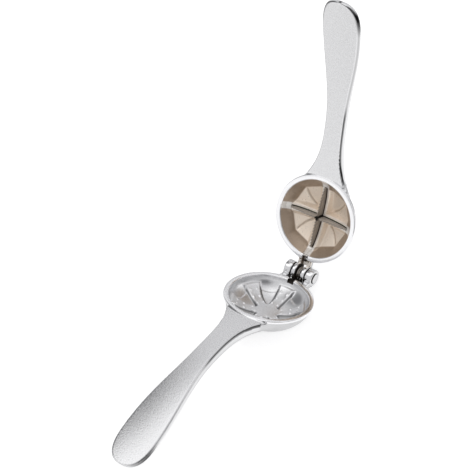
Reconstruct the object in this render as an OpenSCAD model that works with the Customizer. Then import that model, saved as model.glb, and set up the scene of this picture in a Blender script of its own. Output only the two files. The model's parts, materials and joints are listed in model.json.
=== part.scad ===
// Lever nutcracker: two cast levers, each a round cup with a curved paddle
// handle, joined by a sprung pin hinge on the side away from the handles.
// Millimetres. +Z is up. The origin is the middle of the foot under the lower
// cup, on the surface that the nutcracker rests on. The handles point to -X
// and the hinge pin lies along Y.

/* [Cups] */
// Outside diameter of each cup at its rim
cup_d = 50; // [46:0.5:58]
// Width of the rim's top face
rim_w = 3; // [2.6:0.1:3.6]
// Depth of a cup's outside below its rim
cup_h = 16; // [15:0.5:20]
// Thickness of the casting at the middle of a cup's floor
floor_t = 4.7; // [4:0.1:5.6]
// Height of the steep wall inside the rim
wall_h = 6.6; // [5:0.2:8]
// How far the steep wall leans in over its height
wall_lean = 3.9; // [3:0.1:5]
// Gap between the two rims when the levers are closed
rim_gap = 0.3; // [0.2:0.05:1]

/* [Foot] */
// Diameter of the flat foot under the lower cup
foot_d = 14; // [10:0.5:18]
// How far the foot stands proud of the cup's underside
foot_h = 1.3; // [1.2:0.1:3]

/* [Handles] */
// Length of a handle from the cup's edge to its tip
handle_l = 102; // [90:0.5:120]
// Width of a handle where it leaves the cup
root_w = 22.8; // [21:0.1:27]
// Width of the neck
neck_w = 11.8; // [10:0.1:14]
// Distance from the cup's edge to the neck
neck_at = 31; // [24:0.5:36]
// Greatest width of the paddle
paddle_w = 22.2; // [18:0.1:26]
// Length of the rounded end beyond the widest place
tip_l = 14.5; // [12:0.5:20]
// Thickness of the lower handle up to its neck
lower_neck_t = 8.6; // [7:0.1:10]
// Thickness of the lower handle at its tip
lower_tip_t = 4.4; // [3.5:0.1:5.5]
// Thickness of the upper handle up to its neck
upper_neck_t = 7.2; // [6:0.1:9]
// Thickness of the upper handle at its tip
upper_tip_t = 4.2; // [3:0.1:5]
// Radius of the edge between a handle's inner face and its sides
edge_r = 1.6; // [1:0.1:2]
// Angle at which the lower handle leaves the plane of the rim
lower_root_angle = 3; // [1:0.1:6]
// Angle at which the upper handle leaves the plane of the rim
upper_root_angle = 6; // [3:0.1:8]
// Step from the rim down to the lower handle's inner face
lower_step = 0.7; // [0.3:0.1:1.5]
// How far the lower handle's inner face has dropped at its tip
lower_drop = 39; // [34:0.1:44]
// How far the upper handle's inner face has risen at its tip
upper_rise = 33.6; // [31:0.1:38]

/* [Hinge] */
// Distance from the cup's edge to the pin's axis
hinge_out = 7.8; // [6:0.1:10]
// Radius of the knuckles
knuckle_r = 4.8; // [4.2:0.1:5.2]
// Length of each outer knuckle, on the lower lever
outer_knuckle_l = 4.4; // [3.6:0.1:6]
// Length of each inner knuckle, on the upper lever
inner_knuckle_l = 2.5; // [2:0.1:4]
// Width of the bay for the spring between the inner knuckles
bay_w = 3.6; // [3.6:0.1:5]
// Side gap between neighbouring knuckles
knuckle_gap = 0.3; // [0.2:0.05:0.6]
// Radius of the hinge pin
pin_r = 2; // [1.6:0.1:2.2]
// Radial running clearance of the pin in its bores
pin_clear = 0.05; // [0.02:0.01:0.1]
// Radius of the pin's heads
head_r = 3.1; // [2.7:0.1:3.3]
// Thickness of the pin's heads
head_t = 0.9; // [0.6:0.1:1.2]
// Angle between the levers at rest
open_angle = 100; // [80:1:130]

/* [Spring] */
// Diameter of the spring wire
wire_d = 1; // [0.8:0.05:1]
// Radial gap between the spring's coil and the pin
coil_gap = 0.5; // [0.3:0.05:0.7]
// Length of the spring's legs beyond the axis
leg_l = 9.6; // [8.5:0.1:10.5]

/* [Grip star in the lower cup] */
// Depth of the hub's flat top below the rim
hub_depth = 10.4; // [10:0.1:11]
// Distance from the middle of the hub to its corners
hub_r = 7.5; // [6:0.1:9]
// Number of arms around the hub
arms = 6; // [4:1:8]
// Width of each arm
arm_w = 5; // [3:0.1:6]
// Depth of the arms' tops below the rim, if carried on to the middle
arm_depth = 9; // [8.5:0.1:9.8]

/* [Ribs and blades in the upper cup] */
// Width of the crossed ribs
rib_w = 4.6; // [3.6:0.1:6]
// Depth of the ribs' tops below the rim at the middle
rib_depth = 7.5; // [6.5:0.1:8.5]
// Width of the low creases between the ribs
crease_w = 0.8; // [0.6:0.1:1.4]
// Height of the low creases above the floor
crease_h = 0.5; // [0.3:0.1:1]
// Thickness of the blades
blade_t = 0.8; // [0.6:0.1:1.2]
// Gap between a blade and each side of its slot
blade_gap = 0.05; // [0.02:0.01:0.15]
// Length of each blade
blade_l = 36; // [30:0.5:37]
// Depth of the blades' slots below the ribs' tops at the middle
slot_depth = 2.1; // [1.5:0.1:2.6]
// Depth of the teeth's points below the rim at the middle
blade_top = 1.5; // [1:0.1:3]
// How much lower the teeth's points lie at the blade's ends
blade_crown = 1; // [0.5:0.1:1.5]
// Length of each tooth
tooth_l = 1.5; // [1.2:0.1:2.5]
// Height of each tooth
tooth_h = 0.7; // [0.4:0.1:1]

/* [Hidden] */

SATIN = [0.80, 0.80, 0.81];
STEEL = [0.66, 0.66, 0.67];
WIRE = [0.52, 0.51, 0.50];
BLADE = [0.50, 0.47, 0.44];

cup_r = cup_d / 2;
cavity_r = cup_r - rim_w;
cavity_depth = cup_h - floor_t;
floor_r = cavity_r - wall_lean;
hinge_x = cup_r + hinge_out;
hinge_z = rim_gap / 2;
foot_depth = cup_h + foot_h;

// Axial places of the hinge, measured from its middle.
inner_start = bay_w / 2;
inner_end = inner_start + inner_knuckle_l;
outer_start = inner_end + knuckle_gap;
outer_end = outer_start + outer_knuckle_l;

rim_round = 0.5;
ring = 96;

// How far a cut runs past the face that it opens.
past = 1;
// Side room round the pin's heads, the spring's coil and the ends of its legs.
head_room = 0.3;
coil_room = 0.5;
leg_room = 0.4;
// How far the pin's heads stay below the faces of the outer knuckles.
recess_room = 0.1;

// ---- Cups ------------------------------------------------------------------

// Powers of the dished curves: how flat the middle is, and how steeply the
// outside and the tops of the arms and ribs meet the rim's plane.
dish_flat = 2.6;
outside_steep = 0.65;
inside_steep = 0.6;

// Height of a dished surface that meets the rim's plane at radius edge.
function dish(r, edge, depth, steep) =
    -depth * pow(max(0, 1 - pow(r / edge, dish_flat)), steep);

function outside_z(r) = dish(r, cup_r, cup_h, outside_steep);
function floor_z(r) =
    -wall_h - (cavity_depth - wall_h) * (1 - pow(r / floor_r, 2));

outside_steps = [0, 0.2, 0.36, 0.5, 0.62, 0.72, 0.8, 0.87, 0.92, 0.96, 0.985];
floor_steps = [0.8, 0.6, 0.4, 0.2, 0];

module cup_outside() {
    rotate_extrude($fn = ring)
        polygon([for (k = outside_steps) [k * cup_r, outside_z(k * cup_r)],
                 [cup_r, -rim_w / 2], [cup_r, -rim_round],
                 [cup_r - rim_round, 0], [0, 0]]);
}

module cavity() {
    rotate_extrude($fn = ring)
        polygon([[0, past], [cavity_r + rim_round, past],
                 [cavity_r + rim_round, 0], [cavity_r, -rim_round],
                 [floor_r, -wall_h],
                 for (k = floor_steps) [k * floor_r, floor_z(k * floor_r)]]);
}

// Everything below a dished top surface, as far as the rim.
module under_dish(depth) {
    steps = [0, 0.3, 0.45, 0.6, 0.72, 0.82, 0.9, 0.96, 1];
    rotate_extrude($fn = ring)
        polygon([for (k = steps)
                     [k * cavity_r, dish(k * cavity_r, cavity_r, depth, inside_steep)],
                 [cavity_r, -cup_h], [0, -cup_h]]);
}

// Bars of one width across the whole cup, evenly turned about its middle.
module bars(count, width, first = 0) {
    for (i = [0:count - 1])
        rotate([0, 0, first + i * 180 / count])
            translate([-cup_r, -width / 2, -cup_h])
                cube([cup_d, width, cup_h]);
}

// Single arms from the middle outwards.
module spokes(count, width) {
    for (i = [0:count - 1])
        rotate([0, 0, i * 360 / count])
            translate([0, -width / 2, -cup_h])
                cube([cup_r, width, cup_h]);
}

module star() {
    difference() {
        intersection() {
            spokes(arms, arm_w);
            under_dish(arm_depth);
        }
        cylinder(h = 2 * cup_h, r = hub_r, $fn = ring, center = true);
    }
    translate([0, 0, -cup_h])
        cylinder(h = cup_h - hub_depth, r = hub_r, $fn = ring);
}

module cross_ribs() {
    intersection() {
        bars(2, rib_w);
        under_dish(rib_depth);
    }
}

module creases() {
    intersection() {
        bars(2, crease_w, 45);
        rotate_extrude($fn = ring)
            polygon([for (k = [0, 0.25, 0.5, 0.75, 1])
                         [k * floor_r, floor_z(k * floor_r) + crease_h],
                     [floor_r, -cup_h], [0, -cup_h]]);
    }
}

// ---- Handles ---------------------------------------------------------------

paddle_at = handle_l - tip_l;
root_in = 7;

// Powers that shape the curves of a handle's width and thickness.
root_power = 2.9;
paddle_power = 1.05;
tip_power = 2.6;
taper_power = 1.1;
tip_thin_power = 0.4;
back_power = 0.65;

function between(t) = min(1, max(0, t));

// Half the width at distance s from the cup's edge.
function half_w(s) =
    s < neck_at
        ? neck_w / 2 + (root_w - neck_w) / 2 * pow((neck_at - s) / neck_at, root_power)
    : s < paddle_at
        ? neck_w / 2 + (paddle_w - neck_w) / 4
            * (1 - cos(180 * pow((s - neck_at) / (paddle_at - neck_at), paddle_power)))
    : paddle_w / 2 * pow(1 - pow((s - paddle_at) / tip_l, tip_power), 1 / tip_power);

// What differs between the handles: the way they curve (1 towards the open side
// of the cup), the step down from the rim, the angle at the root, the rise at
// the tip, and the thickness at the neck and at the tip.
lower_shape = [-1, lower_step, lower_root_angle, lower_drop, lower_neck_t, lower_tip_t];
upper_shape = [1, 0, upper_root_angle, upper_rise, upper_neck_t, upper_tip_t];

function thick(s, shape) =
    let (neck_t = shape[4], tip_t = shape[5])
    (neck_t + (tip_t - neck_t)
        * pow(between((s - neck_at) / (handle_l - neck_at)), taper_power))
    * (s < paddle_at ? 1 : pow(2 * half_w(s) / paddle_w, tip_thin_power));

// How far the inner face has moved out of the rim's plane, and its slope.
function bend_rate(shape) =
    (shape[3] - handle_l * tan(shape[2])) / (handle_l * handle_l);
function bend(s, shape) = s * tan(shape[2]) + bend_rate(shape) * s * s;
function bend_angle(s, shape) = atan(tan(shape[2]) + 2 * bend_rate(shape) * s);

// Stations along the handle, closer together round the tip.
tip_end = 0.985;
stations = concat(
    [for (i = [0:23]) -root_in + (paddle_at + root_in) * i / 24],
    [for (i = [0:9]) paddle_at + tip_l * tip_end * sin(9 * i)],
    [paddle_at + tip_l * tip_end]);

// One ring, in a plane square to the handle: [across, down from the inner face].
corner = [0, 30, 60];
back = [for (a = [0:20:180]) a];
function ring_points(w, t, e) = concat(
    [for (a = corner) [w - e + e * sin(a), e - e * cos(a)]],
    [for (a = back) [w * sign(cos(a)) * pow(abs(cos(a)), back_power),
                     e + (t - e) * pow(sin(a), back_power)]],
    [for (i = [2:-1:0]) [-(w - e + e * sin(corner[i])), e - e * cos(corner[i])]]);

// Where a point at depth d behind the middle of the inner face lies.
function face_x(s, d, shape) = -cup_r - s - shape[0] * d * sin(bend_angle(s, shape));
function face_z(s, d, shape) =
    -shape[1] + shape[0] * bend(s, shape) - d * cos(bend_angle(s, shape));

module handle(shape) {
    n = len(ring_points(1, 1, edge_r));
    m = len(stations);
    points = [for (s = stations)
                  let (w = half_w(s), t = thick(s, shape), e = min(edge_r, w / 2, t / 3))
                  for (p = ring_points(w, t, e))
                      [face_x(s, p[1], shape), p[0], face_z(s, p[1], shape)]];
    sides = [for (i = [0:m - 2], j = [0:n - 1])
                 let (k = (j + 1) % n)
                 for (f = [[i * n + j, (i + 1) * n + k, i * n + k],
                           [i * n + j, (i + 1) * n + j, (i + 1) * n + k]]) f];
    ends = [[for (j = [0:n - 1]) j], [for (j = [n - 1:-1:0]) (m - 1) * n + j]];
    polyhedron(points = points, faces = concat(sides, ends), convexity = 6);
}

// ---- Places ----------------------------------------------------------------

// The lower lever leans until its handle's back touches the surface that the
// foot stands on.
rest_tilt = max([for (s = stations) if (s > neck_at)
    atan2(-face_z(s, thick(s, lower_shape), lower_shape) - foot_depth,
          -face_x(s, thick(s, lower_shape), lower_shape))]);

module place_lower() {
    translate([foot_depth * sin(rest_tilt), 0, foot_depth * cos(rest_tilt)])
        rotate([0, rest_tilt, 0])
            children();
}

module place_upper() {
    place_lower()
        translate([hinge_x, 0, hinge_z])
            rotate([0, open_angle, 0])
                translate([-hinge_x, 0, hinge_z])
                    rotate([180, 0, 0])
                        children();
}

// ---- Hinge -----------------------------------------------------------------

// A round bar along Y in a lever's own frame, between two places on both sides.
module along_hinge(r, from, to, both = true) {
    for (side = both ? [-1, 1] : [1])
        translate([hinge_x, side * (from + to) / 2, hinge_z])
            rotate([90, 0, 0])
                cylinder(h = to - from, r = r, $fn = 64, center = true);
}

// Webs that carry the knuckles from the cup's wall.
module webs(from, to) {
    web_in = cavity_r - rim_w;
    top = rim_round;
    for (side = [-1, 1])
        translate([web_in, side > 0 ? from : -to, hinge_z - knuckle_r])
            cube([hinge_x - web_in, to - from, knuckle_r - hinge_z - top]);
}

head_recess = head_t + recess_room;

module pin_bore() {
    along_hinge(pin_r + pin_clear, -outer_end - past, outer_end + past, false);
}

module head_recesses() {
    along_hinge(head_r + head_room, outer_end - head_recess, outer_end + past);
}

whole_turns = 2;
coil_turns = whole_turns + (180 - open_angle) / 360;
coil_r = pin_r + coil_gap + wire_d / 2;
bay_r = coil_r + wire_d / 2 + coil_room;
coil_pitch = wire_d * 1.05;
leg_side = coil_pitch * coil_turns / 2;
leg_slot_w = wire_d + 2 * head_room;
leg_slot_depth = coil_r - hinge_z + wire_d / 2 + coil_room / 2;

// Slot for one leg of the spring, open to the rim's plane, and the wider
// pocket at its end.
module leg_slot(side) {
    pocket_w = 2 * leg_slot_w;
    slot_start = hinge_x - leg_l - leg_room;
    translate([slot_start, side * leg_side - leg_slot_w / 2, -leg_slot_depth])
        cube([leg_l + leg_room, leg_slot_w, leg_slot_depth + past]);
    translate([slot_start, -pocket_w / 2, -leg_slot_depth / 2])
        cube([rim_w * 0.7, pocket_w, leg_slot_depth / 2 + past]);
}

// ---- Pieces ----------------------------------------------------------------

module lower_lever() {
    color(SATIN)
    place_lower()
    difference() {
        union() {
            cup_outside();
            handle(lower_shape);
            webs(outer_start, outer_end);
            along_hinge(knuckle_r, outer_start, outer_end);
            translate([0, 0, -foot_depth])
                rotate([0, -rest_tilt, 0])
                    cylinder(h = foot_h + floor_t / 2, d = foot_d, $fn = 64);
        }
        difference() {
            cavity();
            star();
        }
        pin_bore();
        head_recesses();
        leg_slot(-1);
    }
}

module upper_lever() {
    color(SATIN)
    place_upper()
    difference() {
        union() {
            cup_outside();
            handle(upper_shape);
            webs(0, inner_end);
            along_hinge(knuckle_r, 0, inner_end);
        }
        difference() {
            cavity();
            cross_ribs();
            creases();
        }
        pin_bore();
        translate([hinge_x - bay_r, -bay_w / 2, -cup_h])
            cube([2 * bay_r, bay_w, 2 * cup_h]);
        leg_slot(-1);
        blade_slots();
    }
}

module hinge_pin() {
    color(STEEL)
    place_lower() {
        along_hinge(pin_r, -outer_end + head_recess, outer_end - head_recess, false);
        along_hinge(head_r, outer_end - head_recess, outer_end - head_recess + head_t);
    }
}

// ---- Spring ----------------------------------------------------------------

// Centre line: in along the upper lever's leg, round the coil, and out along
// the lower lever's leg. Angles run from the +X side up, in the lower frame.
start_angle = 90 - open_angle;
turn_steps = 16;
coil_count = ceil(coil_turns * turn_steps);
function coil_point(k) =
    let (a = start_angle - 360 * coil_turns * k / coil_count)
    [hinge_x + coil_r * cos(a), leg_side - 2 * leg_side * k / coil_count,
     hinge_z + coil_r * sin(a)];
upper_leg_end = coil_point(0) + leg_l * [-cos(open_angle), 0, sin(open_angle)];
lower_leg_end = coil_point(coil_count) + leg_l * [-1, 0, 0];
spring_line = concat([upper_leg_end], [for (k = [0:coil_count]) coil_point(k)],
                     [lower_leg_end]);

wire_sides = 8;
function unit(v) = v / norm(v);
module wire(line) {
    m = len(line);
    points = [for (i = [0:m - 1])
                  let (t = unit(line[min(i + 1, m - 1)] - line[max(i - 1, 0)]),
                       u = unit(cross([0, 1, 0], t)), v = cross(t, u))
                  for (j = [0:wire_sides - 1])
                      line[i] + wire_d / 2 * (cos(360 * j / wire_sides) * u
                                              + sin(360 * j / wire_sides) * v)];
    sides = [for (i = [0:m - 2], j = [0:wire_sides - 1])
                 let (k = (j + 1) % wire_sides)
                 for (f = [[i * wire_sides + j, (i + 1) * wire_sides + k,
                            i * wire_sides + k],
                           [i * wire_sides + j, (i + 1) * wire_sides + j,
                            (i + 1) * wire_sides + k]]) f];
    ends = [[for (j = [0:wire_sides - 1]) j],
            [for (j = [wire_sides - 1:-1:0]) (m - 1) * wire_sides + j]];
    polyhedron(points = points, faces = concat(sides, ends), convexity = 8);
}

module hinge_spring() {
    color(WIRE)
    place_lower()
        wire(spring_line);
}

// ---- Blades ----------------------------------------------------------------

slot_z = -rib_depth - slot_depth;
teeth = floor(blade_l / tooth_l / 2) * 2;
pitch = blade_l / teeth;

function point_z(x) = -blade_top - blade_crown * pow(2 * x / blade_l, 2);

// Outline of a blade, seen from its side, with teeth along its top.
module blade_outline() {
    polygon(concat(
        [[-blade_l / 2, slot_z], [blade_l / 2, slot_z]],
        [for (i = [teeth:-1:0])
             let (x = (i - teeth / 2) * pitch)
             for (p = i > 0 ? [[x, point_z(x) - tooth_h],
                               [x - pitch / 2, point_z(x - pitch / 2)]]
                            : [[x, point_z(x) - tooth_h]]) p]));
}

module blade_plate(thickness) {
    rotate([90, 0, 0])
        linear_extrude(height = thickness, center = true)
            blade_outline();
}

module blade_slots() {
    slot_w = blade_t + 2 * blade_gap;
    for (a = [0, 90])
        rotate([0, 0, a])
            translate([-blade_l / 2 - blade_gap, -slot_w / 2, slot_z])
                cube([blade_l + 2 * blade_gap, slot_w, cup_h]);
}

// The two blades are halved together where they cross.
halving_z = slot_z + (-blade_top - tooth_h - slot_z) / 2;
module halving(top) {
    w = blade_t + 2 * blade_gap;
    translate([-w / 2, -w / 2, top ? halving_z : slot_z - past])
        cube([w, w, top ? cup_h : halving_z - slot_z + past + blade_gap]);
}

module blade_lengthwise() {
    color(BLADE)
    place_upper()
    difference() {
        blade_plate(blade_t);
        halving(true);
    }
}

module blade_crosswise() {
    color(BLADE)
    place_upper()
    difference() {
        rotate([0, 0, 90]) blade_plate(blade_t);
        halving(false);
    }
}

lower_lever();
upper_lever();
hinge_pin();
hinge_spring();
blade_lengthwise();
blade_crosswise();
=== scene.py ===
"""Lever nutcracker: the finished castings, hinge, spring and blades, dressed
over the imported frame. Shapes are worked out in millimetres in each lever's own
frame (middle of the cup's rim, +X towards the hinge, +Z out of the bowl)."""
import json
import math

import bmesh
import bpy
from bpy.props import FloatProperty, FloatVectorProperty, PointerProperty
from mathutils import Matrix, Vector
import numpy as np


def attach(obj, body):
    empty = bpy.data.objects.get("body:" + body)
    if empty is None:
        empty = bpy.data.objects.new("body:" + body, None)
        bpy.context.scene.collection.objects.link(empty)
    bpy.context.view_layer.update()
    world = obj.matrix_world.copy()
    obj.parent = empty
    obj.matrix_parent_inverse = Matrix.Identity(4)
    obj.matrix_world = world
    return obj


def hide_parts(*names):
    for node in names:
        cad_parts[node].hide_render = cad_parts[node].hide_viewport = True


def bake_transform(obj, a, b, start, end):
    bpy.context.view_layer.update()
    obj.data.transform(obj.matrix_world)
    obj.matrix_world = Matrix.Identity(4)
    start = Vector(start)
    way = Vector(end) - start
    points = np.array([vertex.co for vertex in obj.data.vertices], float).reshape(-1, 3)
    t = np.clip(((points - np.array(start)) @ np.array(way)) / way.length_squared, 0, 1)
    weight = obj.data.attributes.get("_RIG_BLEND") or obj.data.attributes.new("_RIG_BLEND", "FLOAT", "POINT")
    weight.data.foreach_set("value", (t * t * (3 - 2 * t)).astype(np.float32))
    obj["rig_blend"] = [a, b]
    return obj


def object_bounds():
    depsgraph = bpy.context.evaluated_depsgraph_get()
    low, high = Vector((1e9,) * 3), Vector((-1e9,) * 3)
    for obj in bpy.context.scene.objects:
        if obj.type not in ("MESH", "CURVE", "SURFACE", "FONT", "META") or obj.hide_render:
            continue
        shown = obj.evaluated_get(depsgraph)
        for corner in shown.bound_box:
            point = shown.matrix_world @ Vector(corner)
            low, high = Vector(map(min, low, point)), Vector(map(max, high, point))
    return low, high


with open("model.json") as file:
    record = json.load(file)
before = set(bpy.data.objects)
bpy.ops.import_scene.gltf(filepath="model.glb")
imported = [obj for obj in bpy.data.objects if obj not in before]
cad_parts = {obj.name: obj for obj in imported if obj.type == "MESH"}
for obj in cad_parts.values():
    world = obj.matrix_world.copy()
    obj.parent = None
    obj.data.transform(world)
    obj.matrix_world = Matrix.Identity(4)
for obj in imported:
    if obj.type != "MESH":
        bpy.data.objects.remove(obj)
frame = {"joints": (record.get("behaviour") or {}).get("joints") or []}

bl_info = {
    "name": "Lever nutcracker",
    "version": (1, 0, 0),
    "blender": (4, 5, 0),
    "location": "View3D > Sidebar > Nutcracker",
    "description": "Builds the cast levers, hinge, spring and blades of a lever nutcracker",
    "category": "Object",
}

MM = 0.001
CAD_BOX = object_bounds()
HINGE = Vector(frame["joints"][0]["pos_m"])
OPEN_ANGLE = math.radians(100)

# Powers of the dished curves, as in the solids.
DISH_FLAT = 2.6
OUTSIDE_STEEP = 0.65
INSIDE_STEEP = 0.6


def length(name, value_mm, text):
    """A length property, kept in metres."""
    return FloatProperty(name=name, description=text, default=value_mm * MM, min=0,
                         unit="LENGTH", precision=5)


def tint(name, colour, text):
    """A colour property."""
    return FloatVectorProperty(name=name, description=text, default=colour, size=3,
                               min=0, max=1, subtype="COLOR")


class CupSizes(bpy.types.PropertyGroup):
    """Sizes of both cups."""
    radius: length("Radius", 25, "Outside radius of a cup at its rim")
    rim_width: length("Rim width", 3, "Width of the rim's top face")
    height: length("Height", 16, "Depth of a cup's outside below its rim")
    bowl_depth: length("Bowl depth", 11.3, "Depth of a bowl at its middle")
    rim_round: length("Rim rounding", 0.6, "Radius of the rim's edges")
    seat_depth: length("Seat depth", 1.5, "Depth of the bowl's own outer wall")
    seat_play: length("Seat play", 0.05, "Gap between a bowl and its casting")
    bowl_wall: length("Bowl wall", 0.8, "Thickness of a bowl")
    foot_radius: length("Foot radius", 7, "Radius of the flat foot")
    foot_depth: length("Foot depth", 17.3, "Depth of the foot's face below the lower rim")


class HandleSizes(bpy.types.PropertyGroup):
    """Sizes of both handles."""
    reach: length("Length", 102, "From the cup's edge to the tip")
    root_width: length("Root width", 22.8, "Width where the handle leaves the cup")
    neck_width: length("Neck width", 11.8, "Width of the neck")
    neck_at: length("Neck place", 31, "From the cup's edge to the neck")
    paddle_width: length("Paddle width", 22.2, "Greatest width of the paddle")
    tip_length: length("Tip length", 14.5, "Length of the rounded end")
    face_inset: length("Face inset", 0.65, "How far the inner face stops short of the side")
    crown_radius: length("Crown radius", 95, "Radius of the inner face's slight crown")
    face_round: length("Face rounding", 0.45, "Radius of the inner face's edge")
    slope_depth: length("Slope depth", 1.9, "Depth over which the side slopes out")


class HingeSizes(bpy.types.PropertyGroup):
    """Sizes of the hinge and its spring."""
    axis_out: length("Axis place", 32.8, "From the middle of a cup to the pin's axis")
    axis_up: length("Axis height", 0.15, "Height of the axis above the rim's plane")
    knuckle_radius: length("Knuckle radius", 4.8, "Radius of the knuckles")
    knuckle_edge: length("Knuckle edge", 0.45, "Rounding of the knuckles' edges")
    inner_start: length("Inner start", 1.8, "Inner knuckles start here, from the middle")
    inner_end: length("Inner end", 4.15, "Inner knuckles end here")
    outer_start: length("Outer start", 4.75, "Outer knuckles start here")
    outer_end: length("Outer end", 9.0, "Outer knuckles end here")
    bore_radius: length("Bore radius", 2.05, "Radius of the pin's bores")
    recess_radius: length("Recess radius", 3.05, "Radius of the recess round a pin's head")
    recess_depth: length("Recess depth", 1.0, "Depth of the recess round a pin's head")
    pin_radius: length("Pin radius", 2.0, "Radius of the pin's shaft")
    head_radius: length("Head radius", 2.75, "Radius of the pin's heads")
    head_height: length("Head height", 1.7, "Thickness of the pin's heads")
    wire: length("Wire", 1.0, "Diameter of the spring wire")
    coil_radius: length("Coil radius", 3.0, "Radius of the coil's centre line")
    coil_side: length("Coil half width", 1.167, "From the middle to the first turn's centre")
    leg: length("Leg", 9.6, "Length of the spring's legs")


class GripSizes(bpy.types.PropertyGroup):
    """Sizes of the grip star, the ribs and the blade slots."""
    arm_width: length("Arm width", 3.9, "Width of each arm's top near the hub")
    arm_flare: length("Arm flare", 3.6, "How much wider an arm is at its end")
    arm_end: length("Arm end", 19.4, "From the middle to the arms' blunt ends")
    arm_end_depth: length("Arm end depth", 4.2, "Depth of an arm's top at its end")
    arm_side: length("Arm side", 1.7, "How far each side of an arm slopes out")
    web_end: length("Web end", 17.6, "From the middle to the end of the webs between arms")
    web_height: length("Web height", 0.45, "Height of the webs above the bowl's floor")
    hub_radius: length("Hub radius", 5.9, "Radius of the hub's flat top")
    hub_depth: length("Hub depth", 9.2, "Depth of the hub's top below the rim")
    stud_radius: length("Stud radius", 0.62, "Radius of the small studs on the arms")
    stud_height: length("Stud height", 0.5, "Height of the studs")
    rib_width: length("Rib width", 3.8, "Width of each rib's top")
    rib_depth: length("Rib depth", 7.5, "Depth of the ribs' tops at the middle")
    rib_side: length("Rib side", 2.4, "How far each side of a rib slopes out")
    crease_width: length("Crease width", 1.0, "Half of the width of the shallow creases")
    crease_height: length("Crease depth", 0.4, "Depth of the shallow creases")
    crease_bow: length("Crease bow", 1.3, "How far the creases bend")
    rib_end_rise: length("Rib end rise", 1.2, "How far a rib's end stands up at the hinge")
    slot_width: length("Slot width", 2.0, "Width of the slots that the blades stand in")
    slot_floor: length("Slot floor", 9.6, "Depth of the slots' floors below the rim")
    slot_length: length("Slot length", 36.1, "Length of each slot")
    blade_length: length("Blade length", 36, "Length of each blade")
    blade_width: length("Blade thickness", 0.8, "Thickness of each blade")
    blade_top: length("Blade top", 1.5, "Depth of the teeth's points at the middle")
    blade_crown: length("Blade crown", 1.0, "How much lower the points lie at the ends")
    tooth_pitch: length("Tooth pitch", 1.8, "From one tooth to the next")
    tooth_height: length("Tooth height", 1.7, "Height of the teeth")


class FinishColours(bpy.types.PropertyGroup):
    """Colours of the finishes."""
    cast: tint("Cast metal", (0.77, 0.77, 0.78), "Satin and polished cast aluminium")
    chrome: tint("Chrome", (0.74, 0.74, 0.75), "Knuckles and pin")
    bronze: tint("Bronze", (0.88, 0.765, 0.645), "Floor of the upper cup")
    umber: tint("Umber", (0.37, 0.285, 0.215), "Walls of the upper cup")
    blade: tint("Blade steel", (0.35, 0.305, 0.26), "The toothed blades")
    wire: tint("Spring steel", (0.42, 0.39, 0.36), "The spring")
    # painted shadow: the near-black colour put in slots, bores, gaps and the bay under the hinge
    soot: tint("Shadow metal", (0.030, 0.024, 0.020), "Inside the slots and bores")


class StageSettings(bpy.types.PropertyGroup):
    """Camera and light."""
    azimuth: FloatProperty(name="Azimuth", description="Camera's turn round the object",
                           default=math.radians(-55.19), subtype="ANGLE")
    elevation: FloatProperty(name="Elevation", description="Camera's height angle",
                             default=math.radians(39.75), subtype="ANGLE")
    roll: FloatProperty(name="Roll", description="Camera's roll",
                        default=math.radians(0.19), subtype="ANGLE")
    distance: FloatProperty(name="Distance", description="From the camera to its target",
                            default=0.868, unit="LENGTH")
    lens: FloatProperty(name="Lens", description="Focal length in millimetres",
                        default=122.55)


def kit(name):
    """A settings group of the current scene."""
    return getattr(bpy.context.scene, "nutcracker_" + name)


def mm(name):
    """The lengths of a settings group, in millimetres."""
    group = kit(name)
    names = type(group).__annotations__
    return type("Lengths", (), {key: getattr(group, key) / MM for key in names})


# ---- Places ------------------------------------------------------------------

def lower_place():
    """From the lower lever's own frame, in millimetres, to the object's, in metres."""
    cup, hinge = mm("cup"), mm("hinge")
    rise = cup.foot_depth + hinge.axis_up
    tilt = math.atan2(rise, hinge.axis_out) - math.atan2(HINGE.z, HINGE.x)
    turn = Matrix.Rotation(tilt, 4, "Y")
    shift = Matrix.Translation(turn @ Vector((0, 0, cup.foot_depth)))
    return Matrix.Scale(MM, 4) @ shift @ turn


def upper_place():
    """The same for the upper lever at rest."""
    hinge = mm("hinge")
    to_hinge = Matrix.Translation((hinge.axis_out, 0, hinge.axis_up))
    from_hinge = Matrix.Translation((-hinge.axis_out, 0, hinge.axis_up))
    return (lower_place() @ to_hinge @ Matrix.Rotation(OPEN_ANGLE, 4, "Y")
            @ from_hinge @ Matrix.Rotation(math.pi, 4, "X"))


def lower_tilt():
    """How far the lower lever leans at rest."""
    axis = lower_place() @ Vector((1, 0, 0)) - lower_place() @ Vector((0, 0, 0))
    return math.atan2(-axis.z, axis.x)


# ---- Curves ------------------------------------------------------------------

def dish(r, edge, depth, steep=INSIDE_STEEP):
    """Height of a dished curve: 0 at its edge and -depth in its middle."""
    return -depth * max(0.0, 1 - (r / edge) ** DISH_FLAT) ** steep


def ease(value):
    """Smooth step from 0 to 1."""
    value = min(1.0, max(0.0, value))
    return value * value * (3 - 2 * value)


def fade(value, start, width):
    """Smooth step from 0 at start to 1 a width further on. The width may be negative."""
    return ease((value - start) / width)


def soft_min(a, b, width):
    """The lower of two values, rounded where they meet."""
    share = min(1.0, max(0.0, 0.5 + 0.5 * (b - a) / width))
    return b + (a - b) * share - width * share * (1 - share)


# Powers of a handle's width, thickness and back, as in the solids.
ROOT_POWER = 2.9
PADDLE_POWER = 1.05
TIP_POWER = 2.6
TAPER_POWER = 1.1
TIP_THIN_POWER = 0.4
BACK_POWER = 0.65


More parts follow.
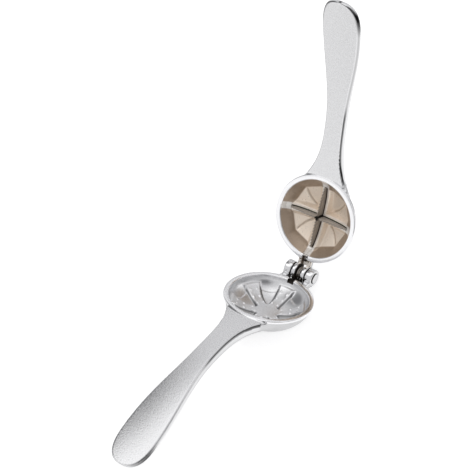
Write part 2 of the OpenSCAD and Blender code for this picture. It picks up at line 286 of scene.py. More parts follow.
def half_width(s, size):
    """Half of a handle's width at distance s from the cup's edge."""
    paddle_at = size.reach - size.tip_length
    neck, root, paddle = size.neck_width / 2, size.root_width / 2, size.paddle_width / 2
    if s < size.neck_at:
        return neck + (root - neck) * ((size.neck_at - s) / size.neck_at) ** ROOT_POWER
    if s < paddle_at:
        share = ((s - size.neck_at) / (paddle_at - size.neck_at)) ** PADDLE_POWER
        return neck + (paddle - neck) * (1 - math.cos(math.pi * share)) / 2
    past = min(1.0, (s - paddle_at) / size.tip_length)
    return paddle * (1 - past ** TIP_POWER) ** (1 / TIP_POWER)


class HandleShape:
    """What differs between the two handles."""

    def __init__(self, side, step, root_angle, rise, neck_thick, tip_thick):
        self.side, self.step, self.rise = side, step, rise
        self.slope = math.tan(math.radians(root_angle))
        self.neck_thick, self.tip_thick = neck_thick, tip_thick

    def rate(self, size):
        """How fast the handle bends, so that it rises by its full amount at its end."""
        return (self.rise - size.reach * self.slope) / size.reach ** 2

    def thickness(self, s, size):
        """Thickness from the face to the back at distance s from the cup's edge."""
        share = min(1.0, max(0.0, (s - size.neck_at) / (size.reach - size.neck_at)))
        thick = self.neck_thick + (self.tip_thick - self.neck_thick) * share ** TAPER_POWER
        if s > size.reach - size.tip_length:
            thick *= (2 * half_width(s, size) / size.paddle_width) ** TIP_THIN_POWER
        return thick

    def place(self, s, across, depth, size, cup_radius):
        """A point of the handle from its distance, offset and depth."""
        rate = self.rate(size)
        bend = s * self.slope + rate * s * s
        angle = math.atan(self.slope + 2 * rate * s)
        return Vector((-cup_radius - s - self.side * depth * math.sin(angle), across,
                       -self.step + self.side * bend - depth * math.cos(angle)))

    def face_normal(self, x, size, cup_radius):
        """Outward normal of the inner face above a place on the lever."""
        s = max(0.0, -cup_radius - x)
        slope = self.side * (self.slope + 2 * self.rate(size) * s)
        return Vector((slope, 0, 1)).normalized()


LOWER_HANDLE = HandleShape(side=-1, step=0.5, root_angle=3, rise=39,
                           neck_thick=8.6, tip_thick=4.4)
UPPER_HANDLE = HandleShape(side=1, step=0, root_angle=6, rise=33.6,
                           neck_thick=7.2, tip_thick=4.2)


def handle_section(half, thick, size):
    """Ring of (across, depth) points: flat face, sloping shoulder, rounded back."""
    inset = min(size.face_inset, half * 0.4)
    face = half - inset
    edge = min(size.face_round, face * 0.4, thick * 0.2)
    slope = min(size.slope_depth, thick * 0.45)
    flat_end = face - edge * 0.4
    side = []
    for turn in (0, 0.33, 0.67, 1.0):
        angle = turn * math.pi / 4
        side.append((flat_end + edge * math.sin(angle), edge * (1 - math.cos(angle))))
    side.append((face + inset * 0.55, slope * 0.5))
    for step in range(10):
        angle = math.radians(10 * step)
        side.append((half * math.cos(angle) ** BACK_POWER,
                     slope + (thick - slope) * math.sin(angle) ** BACK_POWER))
    flat = [(flat_end * share / 6, 0) for share in range(-5, 6)]
    mirrored = [(-across, depth) for across, depth in reversed(side)]
    ring = flat + side + [(0, thick)] + mirrored
    crown = 2 * size.crown_radius
    drop = min(face, half) ** 2 / crown
    return [(across, depth + (across ** 2 / crown if depth <= edge else drop)
             * max(0.0, 1 - depth / (thick * 0.8))) for across, depth in ring]


# ---- Mesh work ---------------------------------------------------------------

def spun(profile, steps, axis="Z"):
    """Closed body of (radius, height) points turned all the way round."""
    bm = bmesh.new()
    line = [bm.verts.new((r, 0, h)) for r, h in profile]
    edges = [bm.edges.new(pair) for pair in zip(line, line[1:])]
    if profile[0][0] > 0:
        edges.append(bm.edges.new((line[-1], line[0])))
    bmesh.ops.spin(bm, geom=line + edges, cent=(0, 0, 0), axis=(0, 0, 1),
                   angle=2 * math.pi, steps=steps, use_merge=True, use_duplicate=False)
    tidy(bm)
    if axis == "Y":
        bmesh.ops.rotate(bm, verts=bm.verts, cent=(0, 0, 0),
                         matrix=Matrix.Rotation(-math.pi / 2, 3, "X"))
    return bm


def tidy(bm):
    """Merges doubles, closes holes and turns every face outwards."""
    bmesh.ops.remove_doubles(bm, verts=bm.verts, dist=1e-4)
    bmesh.ops.dissolve_degenerate(bm, dist=1e-5, edges=bm.edges)
    bmesh.ops.holes_fill(bm, edges=[e for e in bm.edges if e.is_boundary], sides=0)
    bmesh.ops.recalc_face_normals(bm, faces=bm.faces)


def skinned(rings):
    """Closed skin over rings of points with equal counts, from a shaped grid."""
    along, round_ = len(rings) - 1, len(rings[0])
    bm = bmesh.new()
    bmesh.ops.create_grid(bm, x_segments=along, y_segments=round_, size=1)
    for vert in bm.verts:
        i = round((vert.co.x + 1) / 2 * along)
        j = round((vert.co.y + 1) / 2 * round_)
        vert.co = rings[i][j % round_]
    tidy(bm)
    return bm


def box(low, high, edge=0):
    """Block between two corners, with its edges rounded."""
    bm = bmesh.new()
    bmesh.ops.create_cube(bm, size=1)
    low, high = Vector(low), Vector(high)
    for vert in bm.verts:
        vert.co = (low + high) / 2 + Vector(a * b for a, b in zip(vert.co, high - low))
    if edge:
        bmesh.ops.bevel(bm, geom=bm.edges, offset=edge, affect="EDGES", segments=3,
                        profile=0.5, material=-1)
    return bm


def bar_over(x0, x1, width, z0, z1, y=0):
    """Block along X, as wide as given about a line at y."""
    return box((x0, y - width / 2, z0), (x1, y + width / 2, z1))


def moved(bm, matrix):
    """The same bmesh, moved."""
    bmesh.ops.transform(bm, matrix=matrix, verts=bm.verts)
    return bm


def joined(parts):
    """One bmesh that holds all the parts, which are used up."""
    whole = bmesh.new()
    for part in parts:
        mesh = bpy.data.meshes.new("part")
        part.to_mesh(mesh)
        part.free()
        whole.from_mesh(mesh)
        bpy.data.meshes.remove(mesh)
    return whole


def as_object(bm, name):
    """A linked object from a bmesh, which is used up."""
    mesh = bpy.data.meshes.new(name)
    bm.to_mesh(mesh)
    bm.free()
    obj = bpy.data.objects.new(name, mesh)
    bpy.context.scene.collection.objects.link(obj)
    return obj


def applied(obj):
    """The bmesh of an object with its modifiers applied. The object is used up."""
    graph = bpy.context.evaluated_depsgraph_get()
    mesh = bpy.data.meshes.new_from_object(obj.evaluated_get(graph))
    bm = bmesh.new()
    bm.from_mesh(mesh)
    for data in (mesh, obj.data):
        bpy.data.meshes.remove(data)
    return bm


def fused(parts, voxel):
    """The parts grown into one skin by a voxel remesh."""
    obj = as_object(joined(parts), "blank")
    remesh = obj.modifiers.new("skin", "REMESH")
    remesh.mode = "VOXEL"
    remesh.voxel_size = voxel
    return applied(obj)


def cut(bm, cutters):
    """Takes the cutters away from a closed body."""
    obj = as_object(bm, "blank")
    tools = [as_object(cutter, "cutter") for cutter in cutters]
    for tool in tools:
        boolean = obj.modifiers.new("cut", "BOOLEAN")
        boolean.operation = "DIFFERENCE"
        boolean.solver = "MANIFOLD"
        boolean.object = tool
    bm = applied(obj)
    for tool in tools:
        bpy.data.meshes.remove(tool.data)
    return bm


def islands(bm):
    """Groups of faces that hang together by their edges."""
    left = set(bm.faces)
    while left:
        group, queue = [], [left.pop()]
        while queue:
            face = queue.pop()
            group.append(face)
            beside = {other for edge in face.edges for other in edge.link_faces} & left
            left -= beside
            queue.extend(beside)
        yield group


LEAST_BODY = 1.0


def without_scraps(bm):
    """Drops the scraps under LEAST_BODY cubic millimetres that a cut leaves."""
    bm.normal_update()
    scraps = []
    for group in islands(bm):
        volume = sum(f.normal.dot(f.calc_center_median()) * f.calc_area() for f in group) / 3
        if volume < LEAST_BODY:
            scraps += group
    bmesh.ops.delete(bm, geom=scraps, context="FACES")
    bmesh.ops.dissolve_degenerate(bm, dist=0.001, edges=bm.edges)
    return bm


def smooth(bm, passes, chosen=None):
    """Smooths a body, or only its chosen places."""
    verts = bm.verts if chosen is None else [v for v in bm.verts if chosen(v.co)]
    for _ in range(passes):
        bmesh.ops.smooth_vert(bm, verts=verts, factor=0.5, use_axis_x=True,
                              use_axis_y=True, use_axis_z=True)


CREASE_ANGLE = math.radians(38)


def finished(bm, name, place, body, materials, sharp=CREASE_ANGLE):
    """Puts a shape in its place as a named piece with its materials, given by name.
    It rides on a body, if given one."""
    moved(bm, place)
    bm.normal_update()
    for face in bm.faces:
        face.smooth = True
    for edge in bm.edges:
        edge.smooth = edge.calc_face_angle(0) < sharp
    obj = as_object(bm, name)
    for material in materials:
        obj.data.materials.append(bpy.data.materials[material])
    if body:
        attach(obj, body)
    return obj


def layers(bm, *names):
    """New values on the vertices, one for each name."""
    for name in names:
        bm.verts.layers.float.new(name)
    return [bm.verts.layers.float[name] for name in names]


def darken(bm, within, index=1):
    """Gives the faces within a place the material slot of their shadow."""
    for face in bm.faces:
        if within(face.calc_center_median()):
            face.material_index = index


# ---- Castings ----------------------------------------------------------------

VOXEL = 0.42
CUP_STEPS = 180
SEAT_STEPS = 120
TURN_STEPS = 96

# How far a cutter stands past what it cuts, and the sizes of the hinge's cuts.
PAST = 1.0
DRUM_REACH = 12
BORE_PLAY = 0.02
SWEEP_PLAY = 0.3
LEG_SLOT_WIDTH = 1.7
LEG_SLOT_DEPTH = 3.6
LEG_END_ROOM = 0.4
LEG_POCKET_WIDTH = 3.4
LEG_POCKET_DEPTH = LEG_SLOT_DEPTH * 0.55
NOTCH_DEPTH = 2.0
NOTCH_BACK = 0.5
NOTCH_TO_AXIS = 4.0
BAY_TO_AXIS = 4.5


def inner_radius(cup):
    """Radius of a bowl inside its rim."""
    return cup.radius - cup.rim_width


def on_axis(bm, hinge):
    """Moves a body that is turned round Y onto the hinge's axis, in a lever's frame."""
    return moved(bm, Matrix.Translation((hinge.axis_out, 0, hinge.axis_up)))


def drum(hinge, play):
    """What the knuckles, with some play, take out of a casting."""
    radius = hinge.knuckle_radius + play
    profile = [(0, -DRUM_REACH), (radius, -DRUM_REACH), (radius, DRUM_REACH), (0, DRUM_REACH)]
    return on_axis(spun(profile, TURN_STEPS, "Y"), hinge)


def cup_shell(cup):
    """Closed outside of a cup, a little below its rim."""
    radius = cup.radius
    shares = [0, 0.1, 0.2, 0.3, 0.4, 0.5, 0.58, 0.66, 0.74, 0.8, 0.86, 0.91, 0.95, 0.98]
    wall = [(k * radius, dish(k * radius, radius, cup.height, OUTSIDE_STEEP)) for k in shares]
    return spun(wall + [(radius, -cup.rim_width / 2), (radius, 0), (0, 0)], CUP_STEPS)


def handle_skin(shape, size, cup):
    """Closed skin of a handle, which starts inside the cup's wall."""
    paddle_at = size.reach - size.tip_length
    root_in, count, tip_count = 7, 60, 20
    nearly = 0.9985  # the last section is small, not a point
    turn = math.radians(90 / tip_count)
    stations = [-root_in + (paddle_at + root_in) * i / count for i in range(count)]
    stations += [paddle_at + size.tip_length * nearly * math.sin(turn * i)
                 for i in range(tip_count + 1)]
    rings = []
    for s in stations:
        half = half_width(s, size)
        section = handle_section(half, shape.thickness(s, size), size)
        rings.append([shape.place(s, across, depth, size, cup.radius)
                      for across, depth in section])
    return skinned(rings)


def webs(hinge, cup, start, end):
    """Blocks from the cup's wall to the knuckles, one on each side."""
    inside = cup.radius - 2 * cup.rim_width
    low, high = hinge.axis_up - hinge.knuckle_radius, -cup.rim_round
    return [box((inside, min(side * start, side * end), low),
                (hinge.axis_out, max(side * start, side * end), high), 0.3)
            for side in (-1, 1)]


def bowl_seat(cup):
    """What a bowl and its cavity take out of a casting."""
    radius, inner, under = cup.radius - cup.seat_play, inner_radius(cup), 0.3
    profile = [(0, PAST), (radius, PAST), (radius, -cup.seat_depth)]
    for k in (0.985, 0.95, 0.9, 0.82, 0.72, 0.6, 0.45, 0.3, 0.15):
        r = k * inner
        profile.append((r + cup.bowl_wall * k,
                        dish(r, inner, cup.bowl_depth) - cup.bowl_wall - under))
    profile.append((0, -cup.bowl_depth - cup.bowl_wall - under))
    return spun(profile, SEAT_STEPS)


def leg_slot(hinge):
    """Room for one leg of the spring, with a wider pocket at the rim."""
    start = hinge.axis_out - hinge.leg - LEG_END_ROOM
    slot = bar_over(start, hinge.axis_out, LEG_SLOT_WIDTH, -LEG_SLOT_DEPTH, PAST,
                    -hinge.coil_side)
    pocket = bar_over(start - 0.35, start + 2.1, LEG_POCKET_WIDTH, -LEG_POCKET_DEPTH, PAST)
    return [slot, pocket]


def bay_notch(hinge, cup):
    """The lower rim's notch, opposite the spring's bay."""
    return bar_over(inner_radius(cup) - NOTCH_BACK, hinge.axis_out - NOTCH_TO_AXIS,
                    2 * hinge.inner_start + 0.2, -NOTCH_DEPTH, PAST)


def blade_slots(grip):
    """The crossed slots that the blades stand in."""
    half, width = grip.slot_length / 2, grip.slot_width / 2
    return [box((-half, -width, -grip.slot_floor), (half, width, PAST)),
            box((-width, -half, -grip.slot_floor), (width, half, PAST))]


def paint_casting(bm, shape, size, cup):
    """Writes how satin each place is, and where shade is painted: a dark line near the inner face's edge and
    a grey band where the sides turn under.
    """
    satin, line, skin = layers(bm, "satin", "painted_edge_shade", "skin")
    bm.normal_update()
    for vert in bm.verts:
        x, y, z = vert.co
        s = -cup.radius - x
        normal = shape.face_normal(x, size, cup.radius)
        up = vert.normal.dot(normal)
        on_handle = fade(s, -1.5, 1.5)
        on_cup = fade(z, -1.0, -1.0) * fade(s, 1.0, -2.0)
        vert[skin] = on_cup
        vert[satin] = max(fade(up, 0.90, 0.08) * on_handle, 0.75 * on_cup)
        half = half_width(min(max(s, 0), size.reach), size)
        face = half - size.face_inset
        tip = fade(s - size.reach, -17, 9)  # 1 over the last few millimetres
        gap = abs(abs(y) - face - 0.25 - 0.3 * tip)
        strength = 0.35 + 0.65 * max(fade(s, 46, -10), tip)
        # painted shade: a dark line along the inner face's edge, in place of a dark reflection there
        if 0.1 - 0.5 * tip < up < 0.985:
            vert[line] = ease(1.1 - gap / (0.42 + 1.0 * tip)) * on_handle * strength
        elif up < 0:
            # painted shade: a grey band where the sides turn under, which outlines the handle
            vert[line] = 0.3 * ease(1 - abs(up + 0.55) / 0.35) * on_handle * (1 - tip)


def casting(shape, start, end, extra, cutters):
    """A cup, its handle and its webs as one skin, cut for the bowl and the hinge."""
    cup, size, hinge = mm("cup"), mm("handle"), mm("hinge")
    bm = fused([cup_shell(cup), handle_skin(shape, size, cup)]
               + webs(hinge, cup, start, end) + extra, VOXEL)
    smooth(bm, 3)

    def at_root(co):
        """Where the handle leaves the cup."""
        return -cup.radius - 9 < co.x < -cup.radius + 6 and co.z < -1.6

    def at_webs(co):
        """Where the webs leave the cup."""
        return 21.5 < co.x < hinge.axis_out - 3.5 and co.z < -1.2

    smooth(bm, 26, at_root)
    smooth(bm, 14, at_webs)
    smooth(bm, 2)
    bm = without_scraps(cut(bm, [bowl_seat(cup)] + cutters))
    paint_casting(bm, shape, size, cup)
    return bm


# Depths of the trough and the tongue that close the bay under the hinge.
TROUGH_DEPTHS = (5.5, 3.9)
TONGUE_DEPTHS = (5.3, 3.95)


def bay_floor(hinge, cup):
    """A trough under the knuckles and a narrow tongue under the coil."""
    low, top = TROUGH_DEPTHS
    half, end = hinge.outer_start - 0.2, hinge.axis_out + 1.0
    trough = box((cup.radius - 1.2, -half, -low), (end, half, -top))
    low, top = TONGUE_DEPTHS
    half = hinge.inner_start - 0.3
    tongue = box((cup.radius - 1.5, -half, -low), (end, half, -top), 0.2)
    return [cut(trough, [drum(hinge, SWEEP_PLAY)]), tongue]


def barrel(hinge, start, end, recess):
    """Outline of one knuckle as (radius, place along the axis), with its outer end
    recessed for a pin's head if wanted."""
    radius, edge, bore = hinge.knuckle_radius, hinge.knuckle_edge, hinge.bore_radius
    rounding = [(radius - edge + edge * math.sin(math.radians(a)),
                 edge * (1 - math.cos(math.radians(a)))) for a in (0, 30, 60, 90)]
    profile = [(bore, start)]
    profile += [(r, start + h) for r, h in rounding]
    profile += [(r, end - h) for r, h in reversed(rounding)]
    if recess:
        lip = 0.15
        profile += [(hinge.recess_radius + lip, end), (hinge.recess_radius, end - lip),
                    (hinge.recess_radius, end - hinge.recess_depth),
                    (bore, end - hinge.recess_depth)]
    else:
        profile += [(bore, end)]
    return profile


def knuckle_pair(hinge, start, end, recess):
    """Both knuckles of one lever, mirrored about its middle."""
    pair = []
    for side in (1, -1):
        profile = [(r, side * h) for r, h in barrel(hinge, start, end, recess)]
        pair.append(on_axis(spun(profile, TURN_STEPS, "Y"), hinge))
    whole = joined(pair)
    bmesh.ops.recalc_face_normals(whole, faces=whole.faces)
    return whole


# ---- Bowls -------------------------------------------------------------------

BOWL_STEPS = 420
BOWL_RINGS = 70

# A bowl's material slots after its own skin.
BOWL_RIM = 1
BOWL_SHADOW = 2


def ring(r, height):
    """Points round a bowl at one radius, each as high as height(x, y) says."""
    angles = (2 * math.pi * k / BOWL_STEPS for k in range(BOWL_STEPS))
    places = ((r * math.cos(angle), r * math.sin(angle)) for angle in angles)
    return [Vector((x, y, height(x, y))) for x, y in places]


def bowl(inner_height, cup):
    """Closed bowl: an inner face shaped by inner_height(x, y), rim, wall and back."""
    inner, edge, under = inner_radius(cup), cup.rim_round, 0.2
    rings = [ring(inner * math.sin(math.pi / 2 * i / BOWL_RINGS) ** 0.92, inner_height)
             for i in range(BOWL_RINGS + 1)]

    def level(r, z):
        rings.append(ring(r, lambda x, y: z))

    for middle, reach, angles in ((inner + edge, -edge, (20, 45, 70, 90)),
                                  (cup.radius - edge, edge, (90, 67, 45, 22, 0))):
        for a in angles:
            level(middle + reach * math.cos(math.radians(a)),
                  -edge + edge * math.sin(math.radians(a)))
    level(cup.radius, -cup.seat_depth + cup.seat_play)
    for k in (0.95, 0.82, 0.6, 0.3):
        level(k * inner + (cup.bowl_wall - cup.seat_play) * k,
              dish(k * inner, inner, cup.bowl_depth) - cup.bowl_wall - under)
    level(0, -cup.bowl_depth - cup.bowl_wall - under)
    return skinned(rings)


STAR_WAYS = [(math.cos(math.pi * i / 3), math.sin(math.pi * i / 3)) for i in range(6)]
STUD_RADII = (8.0, 12.6, 16.6)


def arm_share(r, grip):
    """How far a radius has come along an arm: 0 at the hub, 1 at the arm's end."""
    return max(0.0, (r - grip.hub_radius) / (grip.arm_end - grip.hub_radius)) ** 2.2


def star_gap(x, y, grip):
    """How far a place lies outside the flat top of the star: negative within it."""
    r = math.hypot(x, y)
    away = r - grip.hub_radius
    half = (grip.arm_width + grip.arm_flare * arm_share(r, grip)) / 2
    for c, s in STAR_WAYS:
        if x * c + y * s > 0:
            side = abs(y * c - x * s) - half
            away = soft_min(away, max(side, r - grip.arm_end), 1.2)
    return away


def star_studs(grip):
    """Middles of the studs, two rows on each arm."""
    studs = []
    for c, s in STAR_WAYS:
        for r in STUD_RADII:
            side = grip.arm_width / 2 - 0.35 + 0.02 * r
            studs += [(c * r - s * side, s * r + c * side),
                      (c * r + s * side, s * r - c * side)]
    return studs


def star_height(cup, grip):
    """Inner face of the lower cup: six flared arms with studs round a hub."""
    inner, edge_drop = inner_radius(cup), cup.rim_round
    studs = star_studs(grip)

    def height(x, y):
        r = min(inner, math.hypot(x, y))
        floor = dish(r, inner, cup.bowl_depth - edge_drop) - edge_drop
        top = -grip.hub_depth + (grip.hub_depth - grip.arm_end_depth) * arm_share(r, grip)
        scoop = grip.web_end - 0.9 * math.cos(6 * math.atan2(y, x) - math.pi)
        floor += grip.web_height * fade(r, scoop, -0.9)
        raised = ease(1 - star_gap(x, y, grip) / grip.arm_side)
        z = floor + (max(top, floor) - floor) * raised
        for sx, sy in studs:
            near = ((x - sx) ** 2 + (y - sy) ** 2) / grip.stud_radius ** 2
            if near < 1:
                z += grip.stud_height * math.sqrt(1 - near)
        return z

    return height


def paint_star(bm, grip):
    """Writes where shade is painted on the star's sides, and where highlights are painted on its studs and
    along the edges of its flat top.
    """
    painted_shade, wear_and_painted_light = layers(bm, "painted_shade", "wear_and_painted_light")
    studs = star_studs(grip)
    for vert in bm.verts:
        x, y, z = vert.co
        r = math.hypot(x, y)
        if r < grip.arm_end + grip.arm_side and z < -1:
            gap = star_gap(x, y, grip) / grip.arm_side
            # painted shade on the sloping sides of the arms
            vert[painted_shade] = (ease(1.15 - abs(gap - 0.6) / 0.42) * fade(r, 5.8, 1.5)
                            * fade(r, grip.arm_end - 0.4, -1.2))
            near = min((x - sx) ** 2 + (y - sy) ** 2 for sx, sy in studs)
            # painted highlight on the studs and along the edges of the star's flat top
            vert[wear_and_painted_light] = max(ease(1.5 - math.sqrt(near) / grip.stud_radius),
                               0.6 * ease(1 - abs(gap + 0.15) / 0.22))


# The upper bowl's eight-sided floor, the foot of its wall and the start of a rib's end.
SECTOR = math.pi / 4
FLOOR_CORNER = 18.4
FLOOR_HALF = FLOOR_CORNER * math.cos(SECTOR / 2)
WALL_FOOT = 6.9
RIB_END = 17.6


def side_lean(x, y):
    """Cosine of the angle between a place and the middle of its side of the floor."""
    return math.cos((math.atan2(y, x) % SECTOR) - SECTOR / 2)


def crease(x, y, grip):
    """1 in the middle of a bent crease between two sectors, 0 outside it."""
    along, off = (abs(x) + abs(y)) / math.sqrt(2), (abs(x) - abs(y)) / math.sqrt(2)
    bow = grip.crease_bow * math.sin(math.pi * min(1.0, max(0.0, (along - 4) / 14)))
    return ease(1 - abs(off + bow) / grip.crease_width)


def ribbed_height(cup, grip):
    """Inner face of the upper cup: an eight-sided floor, crossed ribs and creases."""
    inner, edge_drop = inner_radius(cup), cup.rim_round

    def height(x, y):
        r = min(inner, math.hypot(x, y))
        lean = side_lean(x, y)
        reach = FLOOR_HALF / lean
        if r < reach:
            share = r * lean / FLOOR_HALF
            z = -cup.bowl_depth + (cup.bowl_depth - WALL_FOOT) * share ** 2.2
        else:
            share = (r - reach) / (inner - reach)
            z = -WALL_FOOT + (WALL_FOOT - edge_drop) * share ** 0.92
        across = min(abs(x), abs(y))
        z -= grip.crease_height * crease(x, y, grip) * fade(r, reach, -2)
        if x > 0 and abs(y) < x:
            z += grip.rib_end_rise * ease(1.6 - abs(y) / 1.5) * fade(r, RIB_END, 1.2)
        top = dish(r, inner, grip.rib_depth - edge_drop) - edge_drop
        side = ease(1 - (across - grip.rib_width / 2) / grip.rib_side) ** 0.8
        return z + max(0.0, top - z) * side

    return height


def paint_bowl(bm, grip):
    """Writes where the steep wall is, where shade is painted along the creases, and where the bare, rubbed
    places are.
    """
    wall, painted_shade, wear_and_painted_light = layers(bm, "wall", "painted_shade", "wear_and_painted_light")
    for vert in bm.verts:
        x, y = vert.co.xy
        r = math.hypot(x, y)
        reach = FLOOR_HALF / side_lean(x, y)
        vert[wall] = fade(r - reach, -0.25, 0.5)
        # painted shade along the creases
        vert[painted_shade] = crease(x, y, grip) * fade(r, reach, -1.5) * fade(r, 6, 2)
        across = min(abs(x), abs(y))
        land = 0.6 * fade(across, grip.rib_width / 2 + 0.3, -0.3)
        end = fade(r, RIB_END, 0.8) * fade(across, 2.3, -0.5)
        vert[wear_and_painted_light] = max(land, end)


def choose_faces(bm, cup, grip=None):
    """Gives the rim, and the blades' slots if there are any, their own material slots."""
    inner = inner_radius(cup)
    for face in bm.faces:
        centre = face.calc_center_median()
        r = math.hypot(centre.x, centre.y)
        if r > inner - 0.02 and centre.z > -cup.seat_depth - 0.1:
            face.material_index = BOWL_RIM
        elif grip:
            across, along = sorted((abs(centre.x), abs(centre.y)))
            inside = across < grip.slot_width / 2 + 0.01 and along < grip.slot_length / 2
            if inside and centre.z < dish(along, inner, grip.rib_depth) - 0.35:
                face.material_index = BOWL_SHADOW


# ---- Finishes ----------------------------------------------------------------

class Nodes:
    """Short words for building a node tree."""

    def __init__(self, tree):
        self.tree = tree

    def add(self, kind, **values):
        """A new node with its settings and its inputs' values."""
        node = self.tree.nodes.new(kind)
        for key, value in values.items():
            if hasattr(node, key):
                setattr(node, key, value)
            else:
                node.inputs[key.replace("_", " ").title()].default_value = value
        return node

    def link(self, source, target):
        self.tree.links.new(source, target)

    def fill(self, socket, value):
        """Gives a socket a number or a colour, or links it."""
        if isinstance(value, (int, float)):
            socket.default_value = value
        elif isinstance(value, tuple):
            socket.default_value = (*value, 1)
        else:
            self.link(value, socket)

    def maths(self, operation, *values, clamp=False):
        node = self.add("ShaderNodeMath", operation=operation, use_clamp=clamp)
        for socket, value in zip(node.inputs, values):
            self.fill(socket, value)
        return node.outputs[0]

    def times(self, first, second):
        return self.maths("MULTIPLY", first, second)

    def ramp(self, high, low, rate):
        """0 where high is below low, rising at a rate to 1 as it passes it."""
        return self.maths("MULTIPLY", self.maths("SUBTRACT", high, low), rate, clamp=True)

    def mix(self, factor, first, second, kind="Color"):
        """A colour, or a number if kind is Float, between two others."""
        node = self.add("ShaderNodeMix", data_type="RGBA" if kind == "Color" else "FLOAT")
        for name, value in (("Factor_Float", factor), ("A_" + kind, first),
                            ("B_" + kind, second)):
            self.fill(next(s for s in node.inputs if s.identifier == name), value)
        return next(s for s in node.outputs if s.identifier == "Result_" + kind)

    def tones(self, factor, colour, low, high):
        """A colour between a darker and a lighter tone of itself."""
        return self.mix(factor, toned(colour, low), toned(colour, high))

    def written(self, name):
        """A value that was written on the vertices."""
        return self.add("ShaderNodeAttribute", attribute_name=name).outputs["Fac"]


def new_group(name, inputs, outputs):
    """A new shared group: the words to build it with, its input and its output."""
    tree = bpy.data.node_groups.new(name, "ShaderNodeTree")
    for label, kind, value in inputs:
        socket = tree.interface.new_socket(label, in_out="INPUT", socket_type=kind)
        if value is not None:
            socket.default_value = value
    for label, kind in outputs:
        tree.interface.new_socket(label, in_out="OUTPUT", socket_type=kind)
    nodes = Nodes(tree)
    return nodes, nodes.add("NodeGroupInput"), nodes.add("NodeGroupOutput")


NUMBER, POINT = "NodeSocketFloat", "NodeSocketVector"


def grain_group():
    """Cast grain: fine speckle and slow patches."""
    n, start, end = new_group(
        "cast_grain",
        [("Vector", POINT, None), ("Speckle Size", NUMBER, 1600.0),
         ("Patch Size", NUMBER, 90.0)],
        [("Speckle", NUMBER), ("Patches", NUMBER), ("Height", NUMBER)])
    speckle = n.add("ShaderNodeTexNoise", detail=2.0, roughness=0.6)
    patches = n.add("ShaderNodeTexNoise", detail=3.0, roughness=0.5)
    cells = n.add("ShaderNodeTexVoronoi")
    for node, size in ((speckle, "Speckle Size"), (patches, "Patch Size"),
                       (cells, "Speckle Size")):
        n.link(start.outputs["Vector"], node.inputs["Vector"])
        n.link(start.outputs[size], node.inputs["Scale"])
    sharp = n.maths("MULTIPLY_ADD", n.maths("SUBTRACT", speckle.outputs["Fac"], 0.5), 2.4, 0.5,
                    clamp=True)
    n.link(sharp, end.inputs["Speckle"])
    n.link(patches.outputs["Fac"], end.inputs["Patches"])
    height = n.maths("ADD", speckle.outputs["Fac"], n.times(cells.outputs["Distance"], 0.6))
    n.link(height, end.inputs["Height"])


def scuff_group():
    """Fine scratches and smears of a handled metal."""
    n, start, end = new_group(
        "scuffs",
        [("Vector", POINT, None), ("Size", NUMBER, 300.0)],
        [("Scratches", NUMBER), ("Smears", NUMBER)])
    stretch = n.add("ShaderNodeMapping")
    stretch.inputs["Scale"].default_value = (1.0, 9.0, 1.0)
    n.link(start.outputs["Vector"], stretch.inputs["Vector"])
    lines = n.add("ShaderNodeTexNoise", detail=4.0, roughness=0.7)
    smears = n.add("ShaderNodeTexNoise", detail=2.0, roughness=0.5)
    n.link(stretch.outputs["Vector"], lines.inputs["Vector"])
    n.link(start.outputs["Vector"], smears.inputs["Vector"])
    n.link(start.outputs["Size"], lines.inputs["Scale"])
    n.link(n.times(start.outputs["Size"], 0.25), smears.inputs["Scale"])
    n.link(lines.outputs["Fac"], end.inputs["Scratches"])
    n.link(smears.outputs["Fac"], end.inputs["Smears"])


def use_group(n, name, **values):
    """Places a shared group on Object coordinates, with its own values."""
    node = n.add("ShaderNodeGroup")
    node.node_tree = bpy.data.node_groups[name]
    place = n.add("ShaderNodeTexCoord")
    n.link(place.outputs["Object"], node.inputs["Vector"])
    for key, value in values.items():
        node.inputs[key.replace("_", " ").title()].default_value = value
    return node


def shaded(name, metallic=1.0):
    """The words and the Principled shader of a new material."""
    material = bpy.data.materials.new(name)
    material.use_nodes = True
    shader = material.node_tree.nodes["Principled BSDF"]
    shader.inputs["Metallic"].default_value = metallic
    return Nodes(material.node_tree), shader


def raise_bumps(n, shader, height, strength, distance):
    """Raises a shader's surface by a height, at most by a distance in metres."""
    bump = n.add("ShaderNodeBump", strength=strength, distance=distance)
    n.link(height, bump.inputs["Height"])
    n.link(bump.outputs["Normal"], shader.inputs["Normal"])


def toned(colour, share):
    """A colour made lighter or darker by a share."""
    return tuple(min(1.0, channel * share) for channel in colour)


WARM_METAL = (0.80, 0.735, 0.655)
WORN_BRONZE = (0.86, 0.835, 0.80)
PAINTED_LIT_STEEL = (0.78, 0.75, 0.71)


def cast_finish():
    """Satin grain on the handles' inner faces, polish on their sides and the cups."""
    colour = tuple(kit("finish").cast)
    n, shader = shaded("cast_metal")
    grain = use_group(n, "cast_grain", speckle_size=1500.0, patch_size=45.0)
    scuffs = use_group(n, "scuffs", size=260.0)
    satin = n.written("satin")
    line = n.written("painted_edge_shade")
    skin = n.written("skin")
    warm = n.written("warm")
    speckled = n.tones(grain.outputs["Speckle"], colour, 0.91, 1.06)
    polished = n.tones(scuffs.outputs["Smears"], colour, 0.97, 1.04)
    base = n.mix(satin, polished, speckled)
    base = n.mix(n.times(skin, 0.9), base, toned(colour, 0.8))
    base = n.mix(n.times(warm, 0.85), base, WARM_METAL)
    # painted shade: the edge line and the turned-under band darken the base colour
    n.link(n.mix(n.times(line, 0.95), base, toned(colour, 0.06)), shader.inputs["Base Color"])
    satin_rough = n.maths("MULTIPLY_ADD", grain.outputs["Speckle"], 0.10, 0.24)
    polish_rough = n.maths("MULTIPLY_ADD", scuffs.outputs["Scratches"], 0.10, 0.07)
    n.link(n.mix(satin, polish_rough, satin_rough, "Float"), shader.inputs["Roughness"])
    height = n.times(grain.outputs["Height"], satin)
    raise_bumps(n, shader, height, 0.5, 0.0001)


